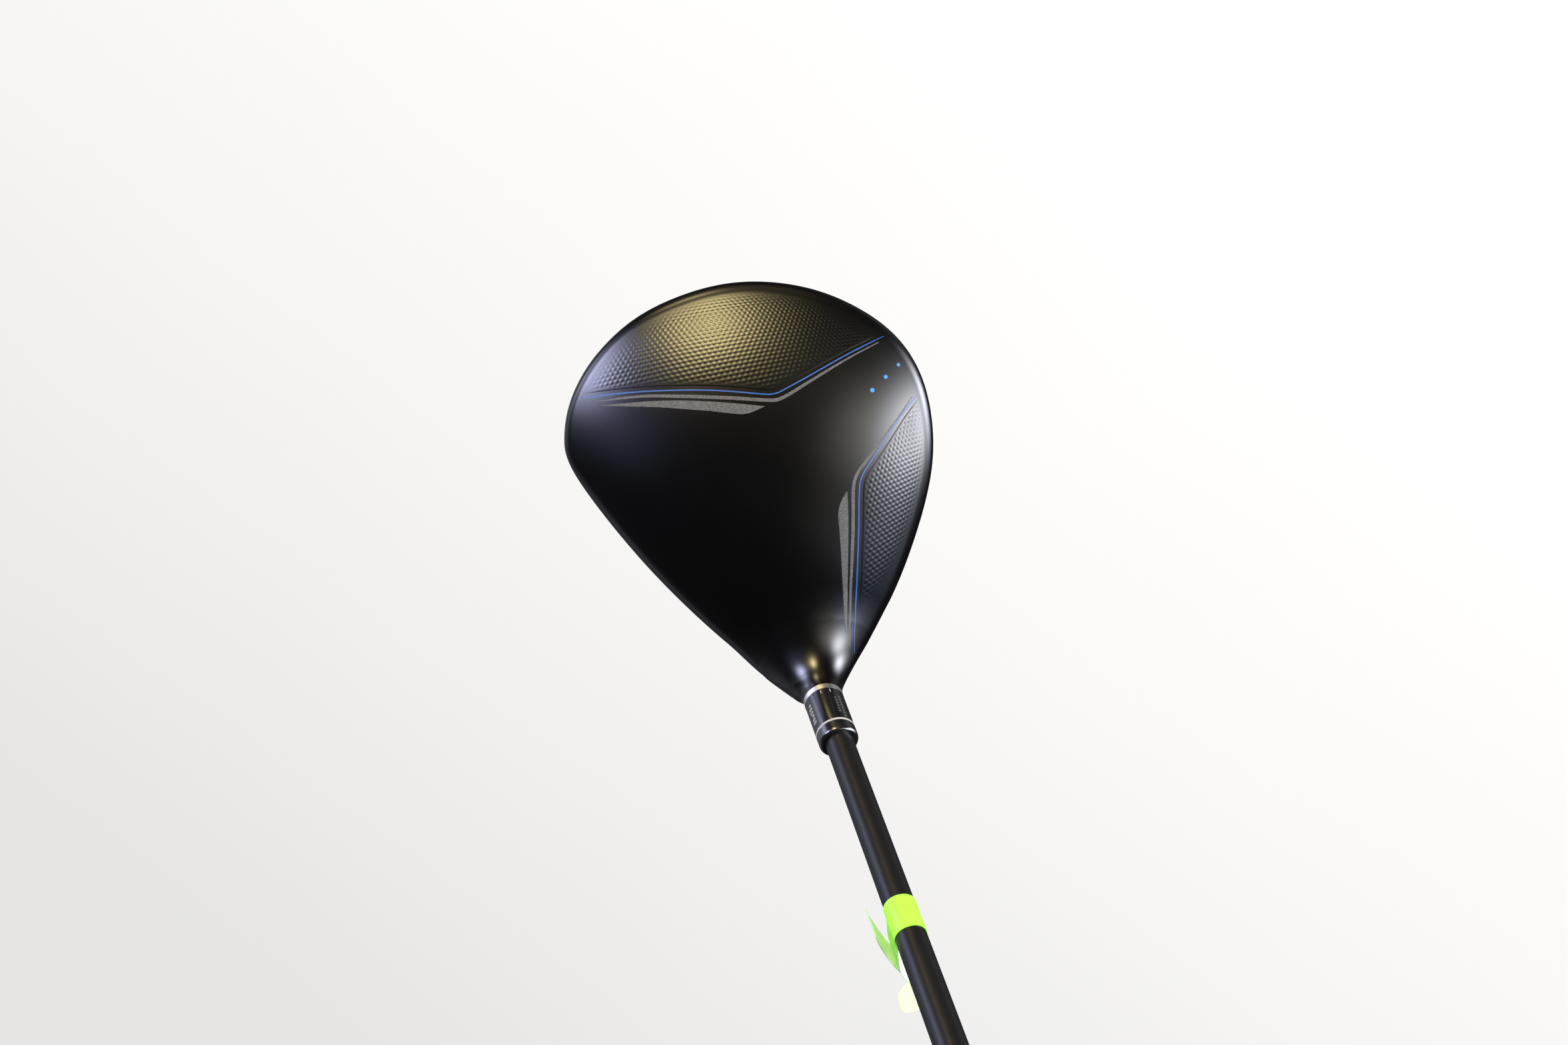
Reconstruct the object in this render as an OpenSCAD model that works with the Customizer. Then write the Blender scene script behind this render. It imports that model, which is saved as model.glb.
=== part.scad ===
// Golf driver, right-handed, in the address position.
// +X runs to the toe, +Y out of the face to the target, +Z up.
// The origin is the centre of the flat that the sole rests on.

/* [Club] */
// Length from the ground point under the heel to the end of the grip
club_len = 1162; // [1120:1:1190]
// Lie: angle between the shaft and the ground, in degrees
lie = 59; // [57:0.5:61]

/* [Head] */
// Loft of the face, in degrees
loft = 10.5; // [8:0.5:12]
// How far the face is turned open, in degrees
face_open = 2.3; // [0:0.1:3]
// Height of the crown's dome above its rim
dome_h = 15; // [13:0.5:18]
// Wall of the crown
crown_t = 1.0; // [0.8:0.1:1.4]
// Wall of the cast body
body_t = 1.6; // [1.3:0.1:2]
// Thickness of the face plate
face_t = 2.8; // [2.4:0.1:3.2]
// Bulge and roll radius of the face
face_r = 305; // [250:5:350]

/* [Hosel and sleeve] */
// Outside diameter of the hosel rim, the sleeve and the ferrule
hosel_d = 12.8; // [12.6:0.1:13.4]
// Distance of the hosel rim from the ground point, along the shaft
rim_a = 78; // [77:0.5:79]
// Number of teeth on the loft sleeve
teeth = 12; // [8:4:12]

/* [Shaft] */
// Shaft diameter at the tip
tip_d = 9.1; // [9:0.05:9.2]
// Shaft diameter at the butt
butt_d = 15.2; // [14.6:0.1:15.4]
// Length of the grip
grip_len = 268; // [255:1:280]

/* [Sole weight] */
// Diameter of the weight's flange
weight_d = 15.8; // [15:0.1:16]

/* [Hidden] */

gap = 0.03;               // gap between pieces that are bonded together
run = 0.05;               // radial running clearance
gx = -21.5; gy = 29.5;    // ground point of the hosel axis
cx = 2; cy = -6;          // centre of the head's plan outline
core = [2, -2, 27];       // a point well inside the head, from which its skin is found
face_c = [2, 49.5, 30.5]; // centre of the face
weight_p = [4, -42];      // plan position of the rear weight
weight_tilt = 30;         // tilt of the rear weight's axis, out of the sole and back

// plan radius of the head every 15 degrees from the toe, counter-clockwise
plan = [64, 66, 67.5, 65, 60, 57.5, 57, 57.5, 62, 67, 68.5, 64.5,
    57, 52.5, 51, 51.5, 52.5, 54.5, 55.5, 55, 55.5, 56.5, 58.5, 60.5];

// ---------- the head's skin ----------

function plan_r(ph) = let(n = len(plan), t = ((ph % 360) + 360) % 360 * n / 360,
    i = floor(t), f = t - i, a = plan[(i + n - 1) % n], b = plan[i % n],
    c = plan[(i + 1) % n], d = plan[(i + 2) % n])
    (a * pow(1 - f, 3) + b * (3 * f * f * f - 6 * f * f + 4)
        + c * (-3 * f * f * f + 3 * f * f + 3 * f + 1) + d * f * f * f) / 6;

// smooth maximum of two fields, rounding the edge between them
function smax(a, b, k) = let(h = min(max(0.5 + 0.5 * (a - b) / k, 0), 1))
    b + (a - b) * h + k * h * (1 - h);

// height of the rim where the crown turns down into the skirt
function rim_z(x, y) = 44 - 0.02 * x + 0.25 * y;

face_n = [sin(face_open) * cos(loft), cos(face_open) * cos(loft), sin(loft)];
face_o = face_c - face_r * face_n;

// negative inside the head, positive outside, about millimetres near the skin
function field(p) = let(
    dx = p.x - cx, dy = p.y - cy, r = norm([dx, dy]) + 1e-6, ph = atan2(dy, dx),
    R = plan_r(ph), q = r / R, zr = rim_z(p.x, p.y),
    crown_f = (p.z - zr - dome_h * (1 - pow(q, 2.4)))
        / norm([1, dome_h * 2.4 * pow(q, 1.4) / R, 0.125]),
    e = 1.03 + 1.25 * pow(max(sin(ph), 0), 3), Rb = R * e, qb = r / Rb,
    sole_f = ((zr - 4) * pow(qb, 3) + 0.15 - p.z)
        / norm([1, (zr - 4) * 3 * pow(qb, 2) / Rb]),
    side_f = r - R - 0.25 * max(zr - p.z, 0) * pow(max(sin(ph), 0), 2),
    front_f = norm(p - face_o) - face_r)
    smax(smax(smax(crown_f, side_f, 3), sole_f, 4), front_f, 3);

// point where the field is lv, from core towards d: 0 on the skin, negative inside it
function cast(d, lv, lo = 0, hi = 110, n = 17) = let(m = (lo + hi) / 2)
    n == 0 ? core + d * m
    : field(core + d * m) > lv ? cast(d, lv, lo, m, n - 1) : cast(d, lv, m, hi, n - 1);
function unit(v) = v / norm(v);

// seam between the crown and the body: 1 mm above the rim, found in plan
function seam(ph, lo = 20, hi = 90, n = 16) = let(m = (lo + hi) / 2, x = cx + m * cos(ph),
    y = cy + m * sin(ph), p = [x, y, rim_z(x, y) + 1])
    n == 0 ? p : field(p) > 0 ? seam(ph, lo, m, n - 1) : seam(ph, m, hi, n - 1);

// how far the seam keeps clear of the hosel
function seam_v(ph) = 0.26 * exp(-pow((ph - 145) / 24, 2));

// direction from core for azimuth ph; v runs from -1 at the bottom to 1 at the top
function aim(s, ph, v) = v >= 0
    ? unit(s * (1 - v) + [core.x, core.y, 80] * v - core)
    : let(t = -v, m = [cx + 0.93 * (s.x - cx), cy + 0.93 * (s.y - cy), 4])
        unit(s * (1 - t) * (1 - t) + m * 2 * t * (1 - t) + [core.x, core.y, -30] * t * t - core);

// closed solid from a list of [v, level] around every azimuth, capped at both ends
module skin_solid(rows, end) {
    m = len(rows);
    ring_pts = [for (i = [0:n_az - 1]) let(ph = 360 * i / n_az, s = seam(ph), w = seam_v(ph))
        for (q = rows) cast(aim(s, ph, q.x >= 0 ? w + q.x * (1 - w) : w - q.x * (-1 - w)), q.y)];
    caps = [for (q = [rows[0], rows[m - 1]]) cast([0, 0, end], q.y)];
    o = n_az * m;
    sides = [for (i = [0:n_az - 1]) let(j = (i + 1) % n_az) each concat(
        [[o, j * m, i * m], [o + 1, i * m + m - 1, j * m + m - 1]],
        [for (k = [0:m - 2]) each [[i * m + k, j * m + k, j * m + k + 1],
            [i * m + k, j * m + k + 1, i * m + k + 1]]])];
    polyhedron(points = concat(ring_pts, caps),
        faces = end < 0 ? [for (f = sides) [f[2], f[1], f[0]]] : sides, convexity = 8);
}
function lerp(a, b, t) = a + (b - a) * t;

// ---------- placing ----------

module on_hosel(a = 0) translate([gx, gy, 0]) rotate([0, lie - 90, 0]) translate([0, 0, a]) children();
module on_face() translate(face_c) rotate([loft - 90, 0, -face_open]) children();
// origin on the skin under the weight, +Z out of the sole
weight_o = let(f = [for (z = [0:0.25:14]) if (field([weight_p.x, weight_p.y, z]) < 0) z])
    [weight_p.x, weight_p.y, f[0]];
module on_weight() translate(weight_o) rotate([180 - weight_tilt, 0, 0]) children();

module ring(r0, r1, h) rotate_extrude($fn = 96) translate([r0, 0]) square([r1 - r0, h]);

// ---------- shaft side ----------

shaft_lo = 56; shaft_hi = club_len - 3.5; taper_lo = 110;
grip_lo = club_len - grip_len; grip_hi = club_len - 4;
function shaft_r(a) = a < taper_lo ? tip_d / 2
    : tip_d / 2 + (butt_d - tip_d) / 2 * (a - taper_lo) / (shaft_hi - taper_lo);

module shaft() color([0.16, 0.16, 0.17]) on_hosel() rotate_extrude($fn = 96) polygon([
    [2.6, shaft_lo], [shaft_r(shaft_lo), shaft_lo], [shaft_r(taper_lo), taper_lo],
    [shaft_r(shaft_hi), shaft_hi], [shaft_r(shaft_hi) - 1, shaft_hi], [2.6, 160]]);

module tip_weight() color("goldenrod") on_hosel(60) difference() {
    cylinder(r = 2.6 - gap, h = 22, $fn = 48);
    translate([0, 0, 14]) cylinder(r = 1, h = 9, $fn = 32);
}

module grip_tape() color([0.85, 0.83, 0.76]) on_hosel() rotate_extrude($fn = 96) polygon([
    [shaft_r(grip_lo) + gap, grip_lo + 2], [shaft_r(grip_lo) + 0.25, grip_lo + 2],
    [shaft_r(shaft_hi) + 0.25, shaft_hi - 1], [shaft_r(shaft_hi) + gap, shaft_hi - 1]]);

module grip() color([0.09, 0.09, 0.1]) on_hosel() rotate_extrude($fn = 96) polygon([
    [shaft_r(grip_lo) + 0.3, grip_lo], [shaft_r(grip_lo) + 2.3, grip_lo],
    [shaft_r(grip_lo) + 3.0, grip_lo + 3], [9.3, grip_lo + 20], [10.6, grip_lo + 120],
    [12.6, grip_hi - 30], [13.6, grip_hi - 4], [13.6, grip_hi - 1],
    [13.2, grip_hi], [shaft_r(shaft_hi) + 0.3, grip_hi]]);

module grip_cap() color([0.12, 0.12, 0.13]) on_hosel() difference() {
    rotate_extrude($fn = 96) polygon([[0, shaft_hi - 9], [6.0, shaft_hi - 9],
        [6.4, shaft_hi], [7.7, shaft_hi + 0.1], [7.7, grip_hi + gap], [13.3, grip_hi + gap],
        [13.6, grip_hi + 1], [12.4, club_len - 1], [10.5, club_len], [0, club_len]]);
    translate([0, 0, shaft_hi - 10]) cylinder(r = 1.6, h = 20, $fn = 48);
}

sleeve_lo = 40; sleeve_hi = rim_a + 16.1; barrel_r = 5.2; bore_r = 2.5;

module loft_sleeve() color([0.06, 0.06, 0.07]) on_hosel() difference() {
    union() {
        translate([0, 0, sleeve_lo]) cylinder(r = barrel_r, h = 45, $fn = 96);
        translate([0, 0, rim_a + 2]) cylinder(d = hosel_d - 0.1, h = sleeve_hi - rim_a - 2, $fn = 96);
        for (i = [0:teeth - 1]) rotate(360 * i / teeth)
            translate([4.9, -0.75, rim_a - 8]) cube([0.8, 1.5, 6]);
    }
    translate([0, 0, shaft_lo - gap]) cylinder(d = tip_d + 2 * gap, h = 50, $fn = 96);
    translate([0, 0, sleeve_lo - 1]) cylinder(r = bore_r, h = 14, $fn = 48);
}

module seat_ring() color("silver") on_hosel(rim_a + gap)
    ring(barrel_r + gap, hosel_d / 2, 2 - 2 * gap);

module ferrule_ring() color("white") on_hosel(sleeve_hi + gap)
    ring(tip_d / 2 + gap, hosel_d / 2, 0.8);

ferrule_lo = sleeve_hi + 0.8 + 2 * gap;
module ferrule() color([0.05, 0.05, 0.06]) on_hosel(ferrule_lo) rotate_extrude($fn = 96)
    difference() {
        union() {
            square([hosel_d / 2 - 0.05, 3]);
            square([hosel_d / 2 - 1.25, 4.2]);
            translate([hosel_d / 2 - 1.25, 3]) circle(r = 1.2, $fn = 48);
        }
        translate([-1, -1]) square([1 + tip_d / 2 + gap, 9]);
    }

// tape strip: one band round the shaft and two free ends behind it
label_lo = 170; label_w = 12.5; label_t = 0.2;
label_a = 61; // turn of the free ends round the shaft
module strip(p) for (i = [0:len(p) - 2]) let(d = unit(p[i + 1] - p[i]), n = [-d.y, d.x] * label_t / 2)
    polygon([p[i] - d * 0.05 + n, p[i] - d * 0.05 - n, p[i + 1] + d * 0.05 - n, p[i + 1] + d * 0.05 + n]);
label_r = shaft_r(label_lo + label_w) + 0.05;
tail_in = [[-6.6, 13], [-7.6, 10.4], [-8.3, 7], [-8.9, 3], [-9.4, -1], [-9.5, -4.8]];
tail_out = [[-4.5, 1.8], [-5.6, 6], [-6.4, 10], [-6.5, 14], [-5.4, 18], [-4.8, 22], [-6, 26], [-8.4, 30]];
module shaft_label() color([0.72, 1, 0.1]) on_hosel(label_lo) rotate(label_a - 180)
    mirror([0, 1, 0]) linear_extrude(label_w) union() {
        difference() {
            circle(r = label_r + label_t, $fn = 96);
            circle(r = label_r, $fn = 96);
        }
        difference() {
            union() { strip(tail_in); strip(tail_out); }
            circle(r = label_r + 0.1, $fn = 96);
        }
    }

// ---------- head ----------

v_steps = [0, 0.07, 0.14, 0.22, 0.30, 0.38, 0.46, 0.54, 0.62, 0.70, 0.78, 0.86, 0.93];
n_az = 72;

// outline of the face opening, in the face's own axes
function face_outline(g) = [for (i = [0:5:355]) let(c = cos(i), s = sin(i),
    k = pow(pow(abs(c), 2.5) + pow(abs(s), 2.5), -1 / 2.5), x = c * k, y = s * k)
    [3 + x * (42 - g), 1 + y * (20.5 - g + 1.6 * x)]];

// neck: outside of the hosel along its axis
module neck() on_hosel() rotate_extrude($fn = 96) polygon([[0, 34], [7.4, 34], [9.4, 40],
    [11.6, 48], [11.7, 53], [10.9, 57], [9.9, 61], [8.9, 65], [7.9, 69], [7.0, 73],
    [hosel_d / 2, rim_a - 0.6], [hosel_d / 2 - 0.3, rim_a], [0, rim_a]]);

slot_x = 9; slot_y = 28; slot_l = 42;
module slot_block(l, w, z0, z1) translate([slot_x, slot_y, z0]) linear_extrude(z1 - z0) union() {
    translate([-(l - w) / 2, -w / 2]) square([l - w, w]);
    for (s = [-1, 1]) translate([s * (l - w) / 2, 0]) circle(d = w, $fn = 48);
}

module body_skin() {
    led = crown_t + gap;
    skin_solid(concat([for (i = [len(v_steps) - 1:-1:0]) [-v_steps[i], 0]],
        [[0, -led], [0.03, -led], [0.06, -led], [0.06, -led - 1]],
        [[0.03, -led - 1.1]],
        [for (v = v_steps) [-max(v, 0.02), -max(body_t, led + 1.3 - 12 * v)]]), -1);
}

// tube round the screw port, ended inside the sole's wall
module port_tube() intersection() {
    on_hosel(-5) cylinder(r = 7.4, h = 42, $fn = 96);
    translate([-22.8, 29.5, 4.2]) rotate([6.6, 14, 0]) translate([-50, -50, 0])
        cube([100, 100, 90]);
}

module head_body() color([0.07, 0.07, 0.08]) difference() {
    union() {
        body_skin();
        cylinder(r = 12, h = 1.7, $fn = 96);
        neck();
        port_tube();
        on_weight() translate([0, 0, -11]) cylinder(r = 9.6, h = 9.9, $fn = 96);
    }
    // hosel bore with the tooth grooves, web hole and screw port
    on_hosel(38) cylinder(r = barrel_r + run, h = 60, $fn = 96);
    on_hosel(rim_a - 8.2) for (i = [0:teeth - 1]) rotate(360 * i / teeth)
        translate([4.9, -0.83, 0]) cube([0.9, 1.66, 20]);
    on_hosel(20) cylinder(r = 2.9, h = 30, $fn = 48);
    on_hosel(-20) cylinder(r = 5.6, h = 54, $fn = 96);
    // face opening
    on_face() translate([0, 0, -12]) linear_extrude(24) polygon(face_outline(0));
    // sole slot
    slot_block(slot_l, 5, -2, 9);
    // weight port
    on_weight() translate([0, 0, -9.8]) cylinder(r = 6, h = 12, $fn = 96);
    on_weight() translate([0, 0, -3.2]) cylinder(d = weight_d + 0.2, h = 12, $fn = 96);
}

module crown() color([0.05, 0.05, 0.06]) skin_solid(concat(
    [for (v = [0.97, 0.9, 0.8, 0.7, 0.6, 0.5, 0.4, 0.3, 0.2, 0.12, 0.05, 0.004]) [v, 0]],
    [for (v = [0.004, 0.03, 0.06, 0.12, 0.2, 0.3, 0.4, 0.5, 0.6, 0.7, 0.8, 0.9, 0.97]) [v, -crown_t]]), 1);

module face_plate() color([0.5, 0.5, 0.52]) on_face() intersection() {
    translate([0, 0, -12]) linear_extrude(24) polygon(face_outline(gap));
    translate([0, 0, -face_r]) difference() {
        sphere(r = face_r, $fn = 200);
        sphere(r = face_r - face_t, $fn = 200);
    }
}

module slot_filler() color([0.2, 0.2, 0.22]) intersection() {
    slot_block(slot_l - 2 * gap, 5 - 2 * gap, 0, 12);
    translate([2, slot_y + 4, 126.3]) rotate([90, 0, 0]) difference() {
        cylinder(r = 125, h = 8, $fn = 200);
        translate([0, 0, -1]) cylinder(r = 121.8, h = 10, $fn = 200);
    }
}

module rattle_pad() color([0.9, 0.85, 0.6]) translate([6, -8, 2.5]) cylinder(r1 = 8, r2 = 6.5, h = 1.4, $fn = 64);

module screw_washer() color("silver") on_hosel(33) ring(2.6, 4.9, 1 - gap);

module screw_retainer() color("dimgray") on_hosel(38 + gap) ring(2.45 + run, 4.2, 1.2);

module hosel_screw() color([0.35, 0.35, 0.37]) on_hosel() difference() {
    rotate_extrude($fn = 96) polygon([[0, 27.6], [3.9, 27.6], [4.4, 28.1], [4.4, 33 - gap],
        [2.45, 33 - gap], [2.45, 50.6], [2.0, 51], [0, 51]]);
    translate([0, 0, 27]) cylinder(r = 2.6, h = 3.4, $fn = 6);
}

module weight_o_ring() color([0.1, 0.1, 0.1]) on_weight() translate([0, 0, -2.7])
    rotate_extrude($fn = 96) translate([6.95, 0]) circle(r = 0.45, $fn = 32);

module sole_weight() color([0.45, 0.45, 0.47]) on_weight() difference() {
    rotate_extrude($fn = 96) polygon([[0, -9.4], [5.5, -9.4], [6 - run, -8.9], [6 - run, -2.2],
        [weight_d / 2, -2.2], [weight_d / 2, -1.2], [weight_d / 2 - 0.5, -0.7], [0, -0.7]]);
    translate([0, 0, -4]) cylinder(r = 3, h = 5, $fn = 6);
}

shaft();
grip();
grip_cap();
grip_tape();
loft_sleeve();
seat_ring();
ferrule();
ferrule_ring();
tip_weight();
shaft_label();
head_body();
crown();
face_plate();
slot_filler();
rattle_pad();
screw_washer();
screw_retainer();
hosel_screw();
weight_o_ring();
sole_weight();
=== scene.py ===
import math

import bpy
import numpy as np
from mathutils import Matrix, Vector


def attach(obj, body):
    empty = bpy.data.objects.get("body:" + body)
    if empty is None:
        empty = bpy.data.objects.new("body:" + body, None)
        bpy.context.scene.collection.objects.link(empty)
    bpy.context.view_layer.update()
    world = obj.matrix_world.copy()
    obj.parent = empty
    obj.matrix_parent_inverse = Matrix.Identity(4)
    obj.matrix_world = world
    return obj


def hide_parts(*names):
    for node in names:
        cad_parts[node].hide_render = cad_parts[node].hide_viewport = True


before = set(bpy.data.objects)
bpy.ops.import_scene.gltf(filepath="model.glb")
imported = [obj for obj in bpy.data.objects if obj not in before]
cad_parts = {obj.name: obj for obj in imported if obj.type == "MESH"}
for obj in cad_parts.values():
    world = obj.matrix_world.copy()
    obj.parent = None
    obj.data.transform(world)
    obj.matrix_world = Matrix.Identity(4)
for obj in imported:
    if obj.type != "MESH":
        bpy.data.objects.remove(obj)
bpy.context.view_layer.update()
MM = 0.001

# ------------------------------------------------------------------ the head's shape, in mm


def unit(v):
    v = np.asarray(v, float)
    return v / np.linalg.norm(v, axis=-1, keepdims=True)


LIE, LOFT, OPEN = math.radians(59), math.radians(10.5), math.radians(2.3)
G = np.array([-21.5, 29.5, 0.0])
S = np.array([-math.cos(LIE), 0, math.sin(LIE)])
EX = np.array([math.sin(LIE), 0, math.cos(LIE)])
EY = np.array([0.0, 1.0, 0.0])
CX, CY = 2.0, -6.0
CORE = np.array([2.0, -2.0, 27.0])
PLAN = np.array([64, 66, 67.5, 65, 60, 57.5, 57, 57.5, 62, 67, 68.5, 64.5,
                 57, 52.5, 51, 51.5, 52.5, 54.5, 55.5, 55, 55.5, 56.5, 58.5, 60.5])
DOME, FACE_R, RIM_A, CORE_R = 15.0, 305.0, 78.0, 6.4
FACE_C = np.array([2.0, 49.5, 30.5])
FACE_N = np.array([math.sin(OPEN) * math.cos(LOFT), math.cos(OPEN) * math.cos(LOFT), math.sin(LOFT)])
FACE_O = FACE_C - FACE_R * FACE_N
W_O = np.array([4.0, -42.0, 7.75])
W_N = np.array([0, -0.5, -math.sqrt(3) / 2])


def plan_r(deg):
    t = (deg % 360) / 15
    i = np.floor(t).astype(int)
    f = t - i
    a, b, c, d = (PLAN[(i + k) % 24] for k in (-1, 0, 1, 2))
    return (a * (1 - f) ** 3 + b * (3 * f**3 - 6 * f**2 + 4) + c * (-3 * f**3 + 3 * f**2 + 3 * f + 1) + d * f**3) / 6


def smax(a, b, k):
    h = np.clip(0.5 + 0.5 * (a - b) / k, 0, 1)
    return b + (a - b) * h + k * h * (1 - h)


def rim_z(x, y):
    return 44 - 0.02 * x + 0.25 * y


def plain_field(P):
    x, y, z = P[..., 0], P[..., 1], P[..., 2]
    dx, dy = x - CX, y - CY
    r = np.hypot(dx, dy) + 1e-6
    up = np.maximum(dy / r, 0)
    R = plan_r(np.degrees(np.arctan2(dy, dx)))
    q, zr = r / R, rim_z(x, y)
    crown = (z - zr - DOME * (1 - q**2.4)) / np.sqrt(1 + (DOME * 2.4 * q**1.4 / R) ** 2 + 0.125**2)
    Rb = R * (1.03 + 1.25 * up**3)
    qb = r / Rb
    sole = ((zr - 4) * qb**3 + 0.15 - z) / np.sqrt(1 + ((zr - 4) * 3 * qb**2 / Rb) ** 2)
    side = r - R - 0.25 * np.maximum(zr - z, 0) * up**2
    front = np.linalg.norm(P - FACE_O, axis=-1) - FACE_R
    return smax(smax(smax(crown, side, 3), sole, 4), front, 3)


def axis_parts(P):
    d = P - G
    a = d @ S
    return a, np.sqrt(np.maximum((d**2).sum(-1) - a * a, 0))


def field(P):
    a, rad = axis_parts(P)
    neck = np.maximum(rad - CORE_R, np.maximum(a - RIM_A - 0.4, 30 - a))
    side = ((P - G) @ (EX + EY)) / (1.4142 * rad + 1.0)
    front = np.maximum((P - G) @ (0.485 * EX + 0.875 * EY) / (rad + 1.0), 0)
    k = np.interp(a, [61, 80], [22.5, 14]) - 2.5 * side + 8 * front**2 * np.interp(a, [60, 72, 78.5], [0, 1, 0])
    return -smax(-plain_field(P), -neck, k)


def slope(f, P, e=0.02):
    return np.stack([(f(P + d) - f(P - d)) / (2 * e) for d in np.eye(3) * e], -1)


def settle(P, f=field, n=4):
    for _ in range(n):
        g = slope(f, P)
        P = P - g * (f(P) / np.maximum((g * g).sum(-1), 1e-9))[..., None]
    return P


def nets(f, lo, hi, h):
    """closed quad skin of f = 0"""
    ax = [np.arange(lo[i], hi[i] + h, h) for i in range(3)]
    V = np.empty([len(a) for a in ax])
    Y, Z = np.meshgrid(ax[1], ax[2], indexing="ij")
    for i, x in enumerate(ax[0]):
        V[i] = f(np.stack([np.full_like(Y, x), Y, Z], -1))
    s = V < 0
    n = np.array(V.shape) - 1
    pick = lambda A, o: A[o[0]: n[0] + o[0], o[1]: n[1] + o[1], o[2]: n[2] + o[2]]
    corners = [(i, j, k) for i in (0, 1) for j in (0, 1) for k in (0, 1)]
    some = np.zeros(n, bool)
    every = np.ones(n, bool)
    for o in corners:
        some |= pick(s, o)
        every &= pick(s, o)
    ids = np.argwhere(some & ~every)
    index = np.full(n, -1)
    index[tuple(ids.T)] = np.arange(len(ids))
    acc, cnt = np.zeros((len(ids), 3)), np.zeros(len(ids))
    for A in corners:
        for d in range(3):
            if A[d]:
                continue
            B = tuple(A[k] + (k == d) for k in range(3))
            va = V[tuple((ids + A).T)]
            vb = V[tuple((ids + B).T)]
            m = (va < 0) != (vb < 0)
            t = va[m] / (va[m] - vb[m])
            acc[m] += np.array(A) + t[:, None] * (np.array(B) - np.array(A))
            cnt[m] += 1
    P = np.array(lo) + h * (ids + acc / cnt[:, None])
    quads = []
    for d in range(3):
        e, g = (d + 1) % 3, (d + 2) % 3
        sl = [slice(None)] * 3
        sl[d] = slice(0, -1)
        sh = [slice(None)] * 3
        sh[d] = slice(1, None)
        a, b = s[tuple(sl)], s[tuple(sh)]
        for inside in (True, False):
            pts = np.argwhere((a == inside) & (b != inside))
            pts = pts[(pts[:, e] > 0) & (pts[:, g] > 0) & (pts[:, e] < n[e]) & (pts[:, g] < n[g])]
            c = []
            for oe, og in ((-1, -1), (0, -1), (0, 0), (-1, 0)):
                o = pts.copy()
                o[:, e] += oe
                o[:, g] += og
                c.append(index[tuple(o.T)])
            q = np.stack(c, 1)
            quads.append(q if inside else q[:, ::-1])
    return P, np.concatenate(quads)


def tris_of(P, Q):
    a = np.linalg.norm(P[Q[:, 0]] - P[Q[:, 2]], axis=1) <= np.linalg.norm(P[Q[:, 1]] - P[Q[:, 3]], axis=1)
    A, B = Q[a], Q[~a]
    return np.concatenate([A[:, [0, 1, 2]], A[:, [0, 2, 3]], B[:, [0, 1, 3]], B[:, [1, 2, 3]]])


def clip(P, T, g, near, both=None):
    """the part of the skin where g > 0, cut along g = 0; near is the distance within which a corner is moved onto the cut"""

    def onto(X):
        for _ in range(4):
            v, k = g(X), slope(g, X)
            nn = unit(slope(field, X)) if both is None else both(X)
            k = k - (k * nn).sum(-1, keepdims=True) * nn
            X = X - k * (v / np.maximum((k * k).sum(-1), 1e-6))[:, None]
            if both is None:
                X = settle(X, n=1)
        return X

    P = P.copy()
    v = g(P)
    m = np.abs(v) < near
    P[m] = onto(P[m])
    s = np.sign(v).astype(int)
    s[m] = 0
    st = s[T]
    keep = T[(st >= 0).all(1) & (st > 0).any(1)]
    new, out = {}, []
    for tri in T[(st > 0).any(1) & (st < 0).any(1)]:
        loop = []
        for i in range(3):
            a, b = int(tri[i]), int(tri[(i + 1) % 3])
            if s[a] >= 0:
                loop.append(a)
            if s[a] * s[b] < 0:
                key = (min(a, b), max(a, b))
                loop.append(new.setdefault(key, len(P) + len(new)))
        for i in range(1, len(loop) - 1):
            out.append((loop[0], loop[i], loop[i + 1]))
    if new:
        e = np.array(list(new))
        t = v[e[:, 0]] / (v[e[:, 0]] - v[e[:, 1]])
        X = P[e[:, 0]] + t[:, None] * (P[e[:, 1]] - P[e[:, 0]])
        P = np.concatenate([P, onto(X)])
        keep = np.concatenate([keep, np.array(out)])
    used, inv = np.unique(keep, return_inverse=True)
    return P[used], inv.reshape(-1, 3)


def walls(T):
    """directed edges that only one triangle has"""
    E = np.concatenate([T[:, [0, 1]], T[:, [1, 2]], T[:, [2, 0]]])
    have = {(int(a), int(b)) for a, b in E}
    return np.array([e for e in have if (e[1], e[0]) not in have])


def thicken(P, T, N, inner):
    """closed solid between the skin P and the points inner"""
    n = len(P)
    E = walls(T)
    sides = np.stack([E[:, 1], E[:, 0], E[:, 0] + n, E[:, 1] + n], 1)
    return np.concatenate([P, inner]), [T, T[:, ::-1] + n, sides], np.concatenate([N, np.full_like(N, np.nan)])


# ------------------------------------------------------------------ meshes

MATS = {}


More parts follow.
